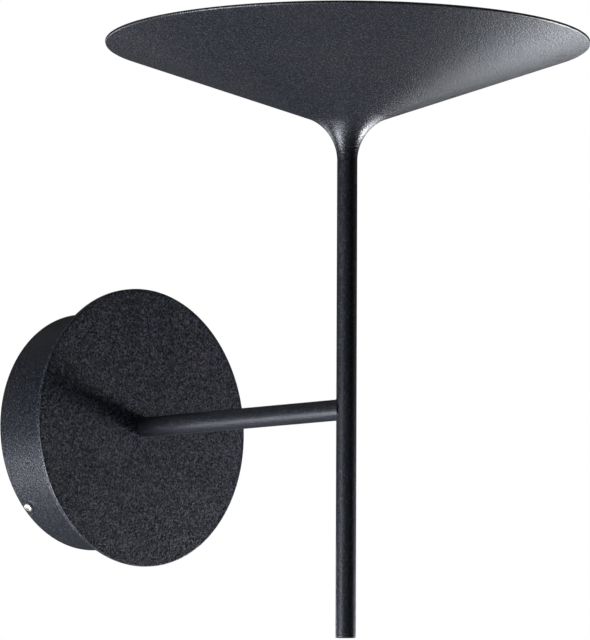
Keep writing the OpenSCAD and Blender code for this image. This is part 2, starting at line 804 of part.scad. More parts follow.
module retainer_screws() {
    color(steel) at_retainer_screws() translate([0, 0, diffuser_top + retainer_t + seat_gap])
        pan_screw(retainer_shank_d, retainer_t + retainer_screw_in, retainer_head_d, retainer_head_h);
}

// Lead from the driver to the LEDs, through the arm and the stem
module led_lead() color("whitesmoke") swept_tube(lead_route, lead_d, [0, 0, 1]);

wall_plate();
cable_grommet();
canopy_drum();
front_plate();
canopy_screws();
driver_case();
driver_screws();
terminal_block();
terminal_screws();
block_fixing_screw();
earth_screw();
earth_washer();
earth_tag();
earth_wire();
live_wire();
neutral_wire();
arm_tube();
arm_nipple();
arm_washer();
arm_nut();
stem_tube();
stem_end_cap();
stem_bush();
shade_shell();
neck_bush();
shade_nipple();
shade_washer();
shade_nut();
led_carrier();
thermal_pad();
led_board();
led_chips();
led_connector();
board_screws();
diffuser_seat();
diffuser();
diffuser_retainer();
retainer_screws();
led_lead();
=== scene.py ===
"""An LED wall light: black powder-coated canopy, arm, stem and trumpet shade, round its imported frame.

Metres, +Z up. The wall is the plane y = 0 and the room lies towards -Y. Turned pieces are drawn as
an outline of radius and height, spun round Z and then laid in place.
"""
import json
import math

import bmesh
import bpy
from bpy.props import FloatProperty, FloatVectorProperty, IntProperty, PointerProperty
from bpy.types import Operator, Panel, PropertyGroup
from mathutils import Matrix, Vector

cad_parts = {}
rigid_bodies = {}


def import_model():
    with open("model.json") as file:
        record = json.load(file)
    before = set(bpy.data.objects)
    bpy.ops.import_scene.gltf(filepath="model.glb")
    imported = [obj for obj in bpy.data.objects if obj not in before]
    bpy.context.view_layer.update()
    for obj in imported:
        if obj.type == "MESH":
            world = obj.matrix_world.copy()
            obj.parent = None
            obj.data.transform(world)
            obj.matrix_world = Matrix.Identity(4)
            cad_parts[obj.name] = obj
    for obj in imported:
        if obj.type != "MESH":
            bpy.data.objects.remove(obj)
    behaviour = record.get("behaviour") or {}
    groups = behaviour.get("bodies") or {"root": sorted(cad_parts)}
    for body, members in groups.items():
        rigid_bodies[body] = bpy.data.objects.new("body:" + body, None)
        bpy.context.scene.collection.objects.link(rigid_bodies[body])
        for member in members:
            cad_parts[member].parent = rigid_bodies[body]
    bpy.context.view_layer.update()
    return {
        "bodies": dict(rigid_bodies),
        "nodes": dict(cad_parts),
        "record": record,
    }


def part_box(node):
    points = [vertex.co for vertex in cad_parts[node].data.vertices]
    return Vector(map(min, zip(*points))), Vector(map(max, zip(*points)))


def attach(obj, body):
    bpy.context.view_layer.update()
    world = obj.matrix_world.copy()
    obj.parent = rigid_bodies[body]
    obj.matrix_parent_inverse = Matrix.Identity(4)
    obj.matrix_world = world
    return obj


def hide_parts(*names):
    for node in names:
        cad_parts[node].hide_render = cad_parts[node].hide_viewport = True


bl_info = {
    "name": "LED wall light",
    "version": (1, 0, 0),
    "blender": (4, 5, 0),
    "location": "View3D > Sidebar > Wall light",
    "description": "Builds the finished pieces of an LED wall light round its frame",
    "category": "Object",
}

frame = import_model()
BODY = next(iter(frame["bodies"]))
NODES = frame["nodes"]
MM = 0.001
GAP = 0.05 * MM
AXIS_OUT = Matrix.Rotation(math.radians(90), 4, "X")


def node_size(node):
    """The lengths of a node's box along X, Y and Z."""
    low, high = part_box(node)
    return high - low


def node_middle(node):
    """The middle of a node's box."""
    low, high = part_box(node)
    return (low + high) / 2


STEM_LOW, STEM_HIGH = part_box("stem_tube")
CAP_LOW, CAP_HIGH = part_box("stem_end_cap")
SHADE_LOW, SHADE_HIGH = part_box("shade_shell")
ARM_LOW, ARM_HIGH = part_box("arm_tube")
SEAT_LOW, SEAT_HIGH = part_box("diffuser_seat")
RETAINER_LOW, RETAINER_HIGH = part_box("diffuser_retainer")
OPAL_LOW, OPAL_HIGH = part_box("diffuser")
STEM_Y = node_middle("shade_shell").y
AT_STEM = Matrix.Translation((0, STEM_Y, 0))
NIPPLE_HOLE = node_size("arm_nipple").x / 2 + 0.2 * MM

CUT_EDGE = 0.15 * MM
SHARP_ANGLE = math.radians(35)
FLARE_STEPS = 28
TUBE_STEPS = 96
COPE_STEPS = 128
SCREW_STEPS = 64
HOLE_STEPS = 32


def length(name, description, default):
    """A size property in metres."""
    return FloatProperty(name=name, description=description, default=default, unit="LENGTH",
                         subtype="DISTANCE", precision=5)


def colour(name, description, default):
    """A colour property."""
    return FloatVectorProperty(name=name, description=description, default=default, size=3,
                               subtype="COLOR", min=0, max=1)


def brightness(name, description, default):
    """How bright the background is, where 1 is white."""
    return FloatProperty(name=name, description=description, default=default, min=0)


def power(name, description, default):
    """A lamp's power in watts."""
    return FloatProperty(name=name, description=description, default=default, min=0, unit="POWER")


class ShadeSettings(PropertyGroup):
    """The trumpet shade and what closes it at the top."""

    rim_radius: length("Rim radius", "Outside radius of the shade's rim", node_size("shade_shell").x / 2)
    slope: FloatProperty(name="Slope", description="Slope of the cone above level",
                         default=math.radians(19.8), subtype="ANGLE")
    wall: length("Wall", "Wall of the spun shade", 1.2 * MM)
    flare_radius: length("Flare radius", "Radius between the neck and the cone", 28 * MM)
    lip_height: length("Lip height", "Height of the upright lip at the rim", 1.5 * MM)
    lip_round: length("Lip rounding", "Rounding of the lip's lower corner", 0.7 * MM)
    ledge: length("Ledge", "Width of the ledge that the opal disc lies on", 10 * MM)
    ring_width: length("Ring width", "Width of the retaining ring", 17 * MM)


class TubeSettings(PropertyGroup):
    """The arm, the stem and the stem's cap."""

    stem_radius: length("Stem radius", "Outside radius of the stem", node_size("stem_tube").x / 2)
    stem_wall: length("Stem wall", "Wall of the stem", 1 * MM)
    lead_hole: length("Lead hole", "Radius of the hole that passes the lead into the stem", 4 * MM)
    arm_radius: length("Arm radius", "Outside radius of the arm", node_size("arm_tube").x / 2)
    arm_wall: length("Arm wall", "Wall of the arm", 1.25 * MM)
    weld: length("Weld", "Radius of the weld bead between arm and stem", 0.75 * MM)
    cap_height: length("Cap height", "Height of the cap's visible disc", 2 * MM)
    cap_chamfer: length("Cap chamfer", "Bevel at the cap's lower edge", 0.4 * MM)


class CanopySettings(PropertyGroup):
    """The round box on the wall and its side screws."""

    drum_radius: length("Drum radius", "Outside radius of the drum", node_size("canopy_drum").x / 2)
    drum_wall: length("Drum wall", "Wall of the drum", 1.2 * MM)
    drum_front: length("Drum front", "Thickness of the drum's front", 1.5 * MM)
    drum_round: length("Drum rounding", "Rounding of the drum's front corner", 2.5 * MM)
    plate_radius: length("Plate radius", "Radius of the front plate", node_size("front_plate").x / 2)
    plate_round: length("Plate rounding", "Rounding of the front plate's edges", 0.6 * MM)
    screw_angle: FloatProperty(name="Screw direction", description="From +X towards +Z",
                               default=math.radians(222.3), subtype="ANGLE")
    screw_inset: length("Screw inset", "Distance of the side screws from the wall", 6 * MM)
    head_radius: length("Head radius", "Radius of the side screws' heads", 3 * MM)
    head_height: length("Head height", "Height of the side screws' heads", 2 * MM)
    hole_radius: length("Hole radius", "Radius of the side screws' holes in the drum", 1.7 * MM)


class FinishSettings(PropertyGroup):
    """The finishes that show."""

    paint: colour("Paint", "Ground of the black powder coat", (0.0050, 0.0062, 0.0095))
    # The front plate's flecks are far brighter than the others: partly a coarser coat, partly painted
    # light on the plate.
    plate_fleck_and_light: colour("Paint flecks", "Light flecks on the front plate", (0.143, 0.155, 0.192))
    paint_even: colour("Even paint", "Light flecks off the front plate", (0.037, 0.0393, 0.0472))
    paint_sheen: colour("Paint sheen", "Tint of the coat's shine", (0.86, 0.89, 1.0))
    paint_roughness: FloatProperty(name="Paint roughness", description="Mean roughness of the coat",
                                   default=0.385, min=0, max=1, subtype="FACTOR")
    paint_grain: length("Paint grain", "Size of the coat's grain", 1.1 * MM)
    paint_relief: length("Paint relief", "Height of the coat's grain", 0.3 * MM)
    nickel: colour("Nickel", "Plating of the side screws", (0.72, 0.71, 0.69))
    zinc: colour("Zinc", "Plating of the wall plate", (0.58, 0.60, 0.62))
    opal: colour("Opal", "Opal acrylic of the diffuser", (0.88, 0.88, 0.86))


class StageSettings(PropertyGroup):
    """Camera, floor and studio light, and how finely the pieces are turned."""

    azimuth: FloatProperty(name="Azimuth", description="Camera's direction from -Y towards +X",
                           default=-0.774734, subtype="ANGLE")
    elevation: FloatProperty(name="Elevation", description="Camera's height above level",
                             default=-0.111422, subtype="ANGLE")
    roll: FloatProperty(name="Roll", description="Turn of the camera about its own axis",
                        default=0.004641, subtype="ANGLE")
    distance: length("Distance", "From the camera to its target", 3.16184)
    target: FloatVectorProperty(name="Target", description="Point that the camera looks at", size=3,
                                default=(0.17852, 0, 0.08482), subtype="XYZ", unit="LENGTH")
    lens: FloatProperty(name="Lens", description="Focal length for the photograph's field of view",
                        default=273.84, unit="CAMERA")
    floor: length("Floor", "Height of the floor", -1.9)
    ambient: brightness("Ambient", "Strength of the room's soft light", 0.02)
    sky: brightness("Sky", "Strength of the reflected sky overhead", 0.7)
    horizon: brightness("Horizon", "Strength of the reflected horizon", 0.02)
    key: power("Key", "Power of the soft box on the right, towards the room", 18.5)
    kicker: power("Kicker", "Power of the soft box on the right, towards the wall", 5.4)
    low: power("Low", "Power of the soft box low on the left", 29)
    side: power("Side", "Power of the soft box beside on the left", 4.5)
    under: power("Under", "Power of the soft box below on the left", 9)
    behind: power("Behind", "Power of the soft box behind", 2.6)
    top: power("Top", "Power of the soft box high in front", 15)
    steps: IntProperty(name="Steps", description="Steps of a full spin", default=256, min=48)


SETTINGS = {
    "shade": ShadeSettings, "tubes": TubeSettings, "canopy": CanopySettings,
    "finish": FinishSettings, "stage": StageSettings,
}


class WallLightSettings(PropertyGroup):
    """All settings of the wall light."""

    shade: PointerProperty(type=ShadeSettings)
    tubes: PointerProperty(type=TubeSettings)
    canopy: PointerProperty(type=CanopySettings)
    finish: PointerProperty(type=FinishSettings)
    stage: PointerProperty(type=StageSettings)


def settings():
    """The wall light's settings in this scene."""
    return bpy.context.scene.wall_light


# Materials

# The black coat's slot, which names its finish on the front plate too, and its two smoother finishes.
COAT = "black_powder_coat"
EVEN_COAT = "black_powder_coat_even"
TUBE_COAT = "black_powder_coat_tube"

# A Mix node has sockets of one name for each type. These are the colour ones.
MIX_FIRST, MIX_SECOND, MIX_RESULT = 6, 7, 2


def arithmetic(tree, operation, first, second):
    """The result of a Math node on a value and a second value or plain number."""
    made = tree.nodes.new("ShaderNodeMath")
    made.operation = operation
    tree.links.new(first, made.inputs[0])
    if isinstance(second, bpy.types.NodeSocket):
        tree.links.new(second, made.inputs[1])
    else:
        made.inputs[1].default_value = second
    return made.outputs["Value"]


def map_range(tree, value, given, wanted, curve):
    """The value, spread from one range to another."""
    made = tree.nodes.new("ShaderNodeMapRange")
    made.interpolation_type = curve
    for name, number in zip(("From Min", "From Max", "To Min", "To Max"), (*given, *wanted)):
        made.inputs[name].default_value = number
    tree.links.new(value, made.inputs["Value"])
    return made.outputs["Result"]


def seen(tree, ray):
    """1 where the camera looks, also through something clear, and 0 for other light."""
    return arithmetic(tree, "MAXIMUM", ray.outputs["Is Camera Ray"], ray.outputs["Is Transmission Ray"])


class Finish:
    """A material's node tree, with short calls for the nodes that the finishes share."""

    def __init__(self, name, base, roughness, metallic=0.0, specular=0.5):
        self.material = bpy.data.materials.new(name)
        self.material.use_nodes = True
        self.tree = self.material.node_tree
        self.shader = self.tree.nodes["Principled BSDF"]
        self.set("Base Color", (*base, 1))
        self.set("Roughness", roughness)
        self.set("Metallic", metallic)
        self.set("Specular IOR Level", specular)
        self.place = self.node("ShaderNodeTexCoord").outputs["Object"]

    def set(self, socket, value):
        """Sets a socket of the shader."""
        self.shader.inputs[socket].default_value = value

    def node(self, kind, **values):
        """A new node with those properties."""
        made = self.tree.nodes.new(kind)
        for name, value in values.items():
            setattr(made, name, value)
        return made

    def link(self, source, target):
        """Links an output to an input."""
        self.tree.links.new(source, target)

    def stretched(self, scale):
        """Object coordinates with a scale for each axis."""
        mapping = self.node("ShaderNodeMapping")
        mapping.inputs["Scale"].default_value = scale
        self.link(self.place, mapping.inputs["Vector"])
        return mapping.outputs["Vector"]

    def reach(self, axes):
        """The distance from the origin, along the axes that are 1."""
        made = self.node("ShaderNodeVectorMath", operation="LENGTH")
        self.link(self.stretched(axes), made.inputs[0])
        return made.outputs["Value"]

    def noise(self, size, detail=2.0, place=None):
        """Noise whose features have that size."""
        made = self.node("ShaderNodeTexNoise")
        made.inputs["Scale"].default_value = 1 / size
        made.inputs["Detail"].default_value = detail
        self.link(place or self.place, made.inputs["Vector"])
        return made.outputs["Fac"]

    def pebbles(self, size):
        """Rounded cells of that size, high in their middles."""
        made = self.node("ShaderNodeTexVoronoi", feature="SMOOTH_F1")
        made.inputs["Scale"].default_value = 1 / size
        made.inputs["Smoothness"].default_value = 0.6
        self.link(self.place, made.inputs["Vector"])
        edge = 0.7
        return self.span(made.outputs["Distance"], 0.0, edge, 1.0, 0.0)

    def span(self, value, low, high, to_low, to_high):
        """The value, spread from one range to another."""
        return map_range(self.tree, value, (low, high), (to_low, to_high), "LINEAR")

    def product(self, first, second):
        """Two values multiplied."""
        return arithmetic(self.tree, "MULTIPLY", first, second)

    def mixed(self, factor, first, second):
        """A value between two others."""
        made = self.node("ShaderNodeMix")
        made.inputs["Factor"].default_value = factor
        self.link(first, made.inputs["A"])
        self.link(second, made.inputs["B"])
        return made.outputs["Result"]

    def ramp(self, value, low, high):
        """A colour from low to high along the value."""
        ramp = self.node("ShaderNodeValToRGB")
        ramp.color_ramp.elements[0].color = (*low, 1)
        ramp.color_ramp.elements[1].color = (*high, 1)
        self.link(value, ramp.inputs["Fac"])
        return ramp.outputs["Color"]

    def tint(self, value, low, high):
        """Colours the surface from low to high along the value."""
        self.link(self.ramp(value, low, high), self.shader.inputs["Base Color"])

    def tint_in_turn(self, value, low, first, second, turn):
        """Colours the surface from low along the value, by turns to the first colour or the second."""
        both = self.node("ShaderNodeMix", data_type="RGBA")
        self.link(turn, both.inputs["Factor"])
        self.link(self.ramp(value, low, first), both.inputs[MIX_FIRST])
        self.link(self.ramp(value, low, second), both.inputs[MIX_SECOND])
        self.link(both.outputs[MIX_RESULT], self.shader.inputs["Base Color"])

    def rough(self, value, low, high):
        """Roughness from low to high along the value."""
        self.link(self.span(value, 0.25, 0.75, low, high), self.shader.inputs["Roughness"])

    def bump(self, value, depth, strength=1.0):
        """Relief of that depth."""
        made = self.node("ShaderNodeBump")
        made.inputs["Distance"].default_value = depth
        made.inputs["Strength"].default_value = strength
        self.link(value, made.inputs["Height"])
        self.link(made.outputs["Normal"], self.shader.inputs["Normal"])


# The powder coat: its specular level, the heights of the noise where a fleck starts and is full,
# the share of pebbles in its relief, the size of its warm and cool patches and how much more red
# or blue they are, and how far its roughness varies.
COAT_SPECULAR = 0.46
FLECK_START, FLECK_FULL = 0.38, 0.72
PEBBLE_SHARE = 0.45
PATCH_SIZE = 26 * MM
WARM_RED, COOL_BLUE = 1.08, 1.1
ROUGHNESS_SPREAD = 0.15

# Near the front plate's rim: where a change starts, where it is whole, and how bright flecks are then.
# Flecks darken towards the rim.
RIM_DARKENING = (3 * MM, 1 * MM, 0.4)
# A painted highlight: the flecks brighten again on the very edge, where the rounded edge catches light.
RIM_PAINTED_HIGHLIGHT = (0.5 * MM, 0.1 * MM, 1.3)


def powder_coat(name, fleck, evenness, relief_share, rim=None):
    """Fine black powder coat: light flecks on a dark ground, in faint warm and cool patches.

    Towards a rim of that radius round Y the flecks fade and the coat darkens, and on the
    edge itself a painted highlight brightens the flecks again.
    """
    look = settings().finish
    made = Finish(name, look.paint, look.paint_roughness, specular=COAT_SPECULAR)
    made.set("Specular Tint", (*look.paint_sheen, 1))
    grain = made.noise(look.paint_grain, 1.5)
    relief = made.mixed(PEBBLE_SHARE, grain, made.pebbles(look.paint_grain * 0.9))
    patches = made.noise(PATCH_SIZE, 1.0)
    flecks = made.span(grain, FLECK_START, FLECK_FULL, 0.0, 1.0)
    shown = made.mixed(evenness, made.product(flecks, flecks), patches)
    if rim:
        radius = made.reach((1, 0, 1))
        # Darker towards the rim, then a painted highlight on the very edge.
        for start, whole, left in (RIM_DARKENING, RIM_PAINTED_HIGHLIGHT):
            shown = made.product(shown, made.span(radius, rim - start, rim - whole, 1.0, left))
    cool, warm = Vector(fleck), Vector(fleck)
    cool.z *= COOL_BLUE
    warm.x *= WARM_RED
    made.tint_in_turn(shown, look.paint, cool, warm, made.span(patches, 0.4, 0.6, 0.0, 1.0))
    spread = ROUGHNESS_SPREAD * relief_share
    made.rough(relief, look.paint_roughness - spread, look.paint_roughness + spread)
    made.bump(relief, look.paint_relief * relief_share)
    return made.material


def plate_coat():
    """The coat on the front plate, where its flecks show most: a coarser grain, and much brighter flecks
    that partly paint light onto the plate.
    """
    return powder_coat(COAT, settings().finish.plate_fleck_and_light, evenness=0.1, relief_share=0.9,
                       rim=settings().canopy.plate_radius)


def even_coat():
    """The same coat where it lies more evenly, on the drum and the shade."""
    return powder_coat(EVEN_COAT, settings().finish.paint_even, evenness=0.15, relief_share=0.65)


def tube_coat():
    """The same coat on the arm and the stem, where it is smoothest."""
    return powder_coat(TUBE_COAT, settings().finish.paint_even, evenness=0.2, relief_share=0.5)


def nickel():
    """Bright nickel plating with faint turning marks."""
    made = Finish("nickel_screw", settings().finish.nickel, 0.40, metallic=1.0)
    marks = made.noise(0.35 * MM, 2.0)
    made.rough(marks, 0.34, 0.48)
    made.bump(marks, 0.01 * MM, 0.4)
    return made.material


def zinc_plate():
    """Zinc-plated pressed steel: rolled grain, a faint warm and cool bloom and dull patches."""
    base = Vector(settings().finish.zinc)
    made = Finish("zinc_steel", base, 0.42, metallic=1.0)
    rolled = made.noise(1.2 * MM, 3.0, made.stretched((0.06, 1, 1)))
    bloom = made.noise(22 * MM, 2.0)
    made.tint(bloom, base * 0.86, Vector((base.x * 1.08, base.y * 1.05, base.z * 0.98)))
    made.rough(rolled, 0.34, 0.52)
    made.bump(rolled, 0.02 * MM, 0.35)
    return made.material


def plated_hardware():
    """Small plated screws and washers."""
    made = Finish("small_hardware", (0.55, 0.55, 0.56), 0.36, metallic=1.0)
    spots = made.noise(0.5 * MM, 3.0)
    made.tint(spots, (0.48, 0.48, 0.49), (0.62, 0.62, 0.62))
    made.rough(spots, 0.28, 0.46)
    return made.material


def turned_brass():
    """Turned brass with fine rings and dull spots."""
    made = Finish("turned_brass", (0.72, 0.53, 0.24), 0.34, metallic=1.0)
    dull = made.noise(2.5 * MM, 3.0)
    made.tint(dull, (0.58, 0.40, 0.17), (0.78, 0.60, 0.30))
    made.rough(dull, 0.26, 0.44)
    made.bump(made.noise(0.3 * MM, 1.0, made.stretched((0.1, 1, 1))), 0.01 * MM, 0.4)
    return made.material


def pressed_aluminium():
    """Pressed aluminium of the carrier, satin from the rolls."""
    made = Finish("pressed_aluminium", (0.80, 0.81, 0.82), 0.38, metallic=1.0)
    rolled = made.noise(0.9 * MM, 3.0, made.stretched((1, 0.05, 1)))
    made.tint(rolled, (0.72, 0.73, 0.74), (0.84, 0.85, 0.86))
    made.rough(rolled, 0.30, 0.46)
    return made.material


def moulded(name, base, roughness, grain=0.6 * MM, spread=0.07):
    """Moulded plastic or rubber: a fine spark-eroded grain and a slight unevenness of tone."""
    made = Finish(name, base, roughness, specular=0.45)
    fine = made.noise(grain, 2.0)
    tone = made.noise(14 * MM, 2.0)
    base = Vector(base)
    made.tint(tone, base * (1 - spread), [min(1.0, value * (1 + spread)) for value in base])
    made.rough(fine, roughness - 0.08, roughness + 0.08)
    made.bump(fine, 0.02 * MM, 0.5)
    return made.material


def striped_sheath():
    """Green and yellow insulation, with its stripes along the wire."""
    made = Finish("wire_green_yellow", (0.35, 0.55, 0.08), 0.42)
    facing = made.node("ShaderNodeSeparateXYZ")
    made.link(made.node("ShaderNodeNewGeometry").outputs["Normal"], facing.inputs["Vector"])
    side = made.span(facing.outputs["Y"], -0.02, 0.02, 0.0, 1.0)
    made.tint(side, (0.62, 0.52, 0.03), (0.05, 0.30, 0.06))
    made.rough(made.noise(0.5 * MM), 0.36, 0.5)
    return made.material


def opal_acrylic():
    """Opal acrylic: milky all through, with a satin face and the faintest waviness."""
    look = settings().finish
    made = Finish("opal_acrylic", look.opal, 0.32, specular=0.5)
    made.set("Subsurface Weight", 0.35)
    made.set("Subsurface Radius", (1.0, 0.95, 0.9))
    made.set("Subsurface Scale", 3 * MM)
    haze = made.noise(30 * MM, 2.0)
    made.tint(haze, Vector(look.opal) * 0.97, look.opal)
    made.rough(made.noise(0.8 * MM, 2.0), 0.28, 0.38)
    made.bump(made.noise(6 * MM, 1.0), 0.02 * MM, 0.3)
    return made.material


def phosphor():
    """Phosphor gel of the LEDs in their white frames."""
    made = Finish("led_phosphor", (0.92, 0.76, 0.28), 0.25)
    specks = made.noise(0.4 * MM, 3.0)
    made.tint(specks, (0.86, 0.66, 0.16), (0.95, 0.82, 0.38))
    made.rough(specks, 0.2, 0.34)
    return made.material


MATERIALS = {
    COAT: plate_coat,
    EVEN_COAT: even_coat,
    TUBE_COAT: tube_coat,
    "nickel_screw": nickel,
    "zinc_steel": zinc_plate,
    "small_hardware": plated_hardware,
    "turned_brass": turned_brass,
    "pressed_aluminium": pressed_aluminium,
    "opal_acrylic": opal_acrylic,
    "led_phosphor": phosphor,
    "wire_green_yellow": striped_sheath,
    "grommet_rubber": lambda: moulded("grommet_rubber", (0.03, 0.03, 0.03), 0.62),
    "driver_plastic": lambda: moulded("driver_plastic", (0.82, 0.82, 0.80), 0.46),
    "terminal_plastic": lambda: moulded("terminal_plastic", (0.78, 0.75, 0.66), 0.40),
    "pad_grey": lambda: moulded("pad_grey", (0.42, 0.43, 0.45), 0.75, 1.2 * MM),
    "board_white": lambda: moulded("board_white", (0.86, 0.86, 0.85), 0.38, 0.9 * MM, 0.02),
    "lead_white": lambda: moulded("lead_white", (0.80, 0.80, 0.78), 0.40),
    "wire_brown": lambda: moulded("wire_brown", (0.22, 0.09, 0.04), 0.40),
    "wire_blue": lambda: moulded("wire_blue", (0.04, 0.13, 0.48), 0.40),
    "earth_green": lambda: moulded("earth_green", (0.08, 0.33, 0.12), 0.36, 0.3 * MM),
}


FINISHES = {}


def finish_for(name):
    """The material of that name, made when it is first asked for."""
    if name not in FINISHES:
        FINISHES[name] = MATERIALS[name]()
    return FINISHES[name]


# Modelling

class Outline:
    """A closed outline of radius and height in the plane y = 0, drawn point by point."""

    def __init__(self, radius, height):
        self.bm = bmesh.new()
        self.first = self.last = self.bm.verts.new((radius, 0, height))
        self.rounds = []

    def to(self, radius, height, rounding=0.0):
        """A straight stretch to the next point, which may be rounded."""
        point = self.bm.verts.new((radius, 0, height))
        self.bm.edges.new((self.last, point))
        self.last = point
        if rounding:
            self.rounds.append((point, rounding))

    def arc(self, centre, angle):
        """An arc round a centre of radius and height. A positive angle turns from radius to height."""
        made = bmesh.ops.spin(self.bm, geom=[self.last], cent=(centre[0], 0, centre[1]), axis=(0, -1, 0),
                              angle=angle, steps=FLARE_STEPS, use_duplicate=False)
        self.last = next(part for part in made["geom_last"] if isinstance(part, bmesh.types.BMVert))

    def close(self):
        """Joins the ends, unless both lie on the axis, and rounds the corners that ask for it."""
        if max(self.first.co.x, self.last.co.x) > 0:
            self.bm.edges.new((self.last, self.first))
        for point, rounding in self.rounds:
            bmesh.ops.bevel(self.bm, geom=[point], offset=rounding, offset_type="OFFSET", segments=4,
                            profile=0.5, affect="VERTICES", material=-1)
        return self.bm


def spun(bm, steps=None):
    """Spins an outline a full turn round Z."""
    bmesh.ops.spin(bm, geom=bm.verts[:] + bm.edges[:], cent=(0, 0, 0), axis=(0, 0, 1),
                   angle=math.tau, steps=steps or settings().stage.steps, use_merge=True,
                   use_duplicate=False)
    bmesh.ops.remove_doubles(bm, verts=bm.verts[:], dist=1e-6)
    bmesh.ops.recalc_face_normals(bm, faces=bm.faces[:])
    return bm


def in_scene(name, data):
    """A new object with that data, in the scene."""
    made = bpy.data.objects.new(name, data)
    bpy.context.scene.collection.objects.link(made)
    return made


def as_object(name, bm, places=(Matrix(),)):
    """An object of the shape, repeated at each place, with the places in its mesh."""
    mesh = bpy.data.meshes.new(name)
    bm.to_mesh(mesh)
    bm.free()
    whole = bmesh.new()
    for place in places:
        once = mesh.copy()
        once.transform(place)
        whole.from_mesh(once)
        bpy.data.meshes.remove(once)
    whole.to_mesh(mesh)
    whole.free()
    return in_scene(name, mesh)


def cut(piece, cutter):
    """Takes the cutter's solid out of the piece, and removes the cutter."""
    boolean = piece.modifiers.new("cut", "BOOLEAN")
    boolean.operation = "DIFFERENCE"
    boolean.solver = "EXACT"
    boolean.object = cutter
    graph = bpy.context.evaluated_depsgraph_get()
    mesh = bpy.data.meshes.new_from_object(piece.evaluated_get(graph))
    piece.modifiers.remove(boolean)
    piece.data = mesh
    bpy.data.objects.remove(cutter)


def rod(radius, start, end, steps=SCREW_STEPS):
    """A round cutter between two points."""
    start, end = Vector(start), Vector(end)
    run = end - start
    bm = bmesh.new()
    bmesh.ops.create_cone(bm, cap_ends=True, segments=steps, radius1=radius, radius2=radius,
                          depth=run.length)
    turn = run.to_track_quat("Z", "Y").to_matrix().to_4x4()
    return as_object("cutter", bm, [Matrix.Translation((start + end) / 2) @ turn])


def finish_piece(piece, slot, *nodes, finish=None):
    """Shades a piece, gives it its finish and puts it in the place of its nodes."""
    mesh = piece.data
    mesh.shade_smooth()
    mesh.set_sharp_from_angle(angle=SHARP_ANGLE)
    weighted = piece.modifiers.new("even_shading", "WEIGHTED_NORMAL")
    weighted.keep_sharp = True
    mesh.materials.clear()
    mesh.materials.append(finish_for(finish or slot))
    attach(piece, BODY)
    if nodes:
        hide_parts(*nodes)


def pan_head_screw(shank_radius, shank, head_radius, head):
    """A pan-head screw that points down, with its head's underside at height 0."""
    line = Outline(0, -shank)
    line.to(shank_radius, -shank, shank_radius * 0.3)
    line.to(shank_radius, 0)
    line.to(head_radius, 0, head * 0.1)
    line.to(head_radius, head * 0.5, head * 0.12)
    line.to(head_radius * 0.86, head * 0.84, head * 0.2)
    line.to(head_radius * 0.5, head, head * 0.2)
    line.to(0, head)
    return spun(line.close(), SCREW_STEPS)


def cross_recess(screws, reach, width, top, depth, places):
    """Sinks a cross recess in each head with two blades that narrow downwards."""
    narrowed = (0.45, 0.6, 1)
    for angle in (0, math.pi / 2):
        bm = bmesh.new()
        blade = bmesh.ops.create_cube(bm, size=1)["verts"]
        bmesh.ops.scale(bm, verts=blade, vec=(2 * reach, width, 2 * depth))
        low = [vert for vert in blade if vert.co.z < 0]
        bmesh.ops.scale(bm, verts=low, vec=narrowed)
        turn = Matrix.Rotation(angle, 3, "Z")
        bmesh.ops.rotate(bm, verts=blade, cent=(0, 0, 0), matrix=turn)
        bmesh.ops.translate(bm, verts=blade, vec=(0, 0, top))
        cut(screws, as_object("cutter", bm, places))


# Pieces

def trumpet_outline():
    """The shade's closed outline: neck, flare, cone and lip, and the same way back inside."""
    size = settings().shade
    neck = SHADE_LOW.z
    lean, rise = math.sin(size.slope), math.cos(size.slope)
    centre = (settings().tubes.stem_radius + size.flare_radius, neck)
    turn = -(math.pi / 2 - size.slope)
    lip = SHADE_HIGH.z - size.lip_height
    wall = size.wall
    inner_lip = lip - wall * math.tan(size.slope) + wall / rise
    inner_arc = size.flare_radius + wall
    edge = 0.3 * MM
    line = Outline(settings().tubes.stem_radius, neck)
    line.arc(centre, turn)
    line.to(size.rim_radius, lip, size.lip_round)
    line.to(size.rim_radius, SHADE_HIGH.z, edge)
    line.to(size.rim_radius - wall, SHADE_HIGH.z, edge)
    line.to(size.rim_radius - wall, inner_lip)
    line.to(centre[0] - inner_arc * lean, neck + inner_arc * rise)
    line.arc(centre, -turn)
    return line


class LIGHT_OT_shade(Operator):
    """Spins the trumpet shade"""

    bl_idname = "wall_light.shade"
    bl_label = "Trumpet shade"

    def execute(self, context):
        shade = as_object("spun_shade", spun(trumpet_outline().close()), [AT_STEM])
        finish_piece(shade, COAT, "shade_shell", finish=EVEN_COAT)
        return {"FINISHED"}


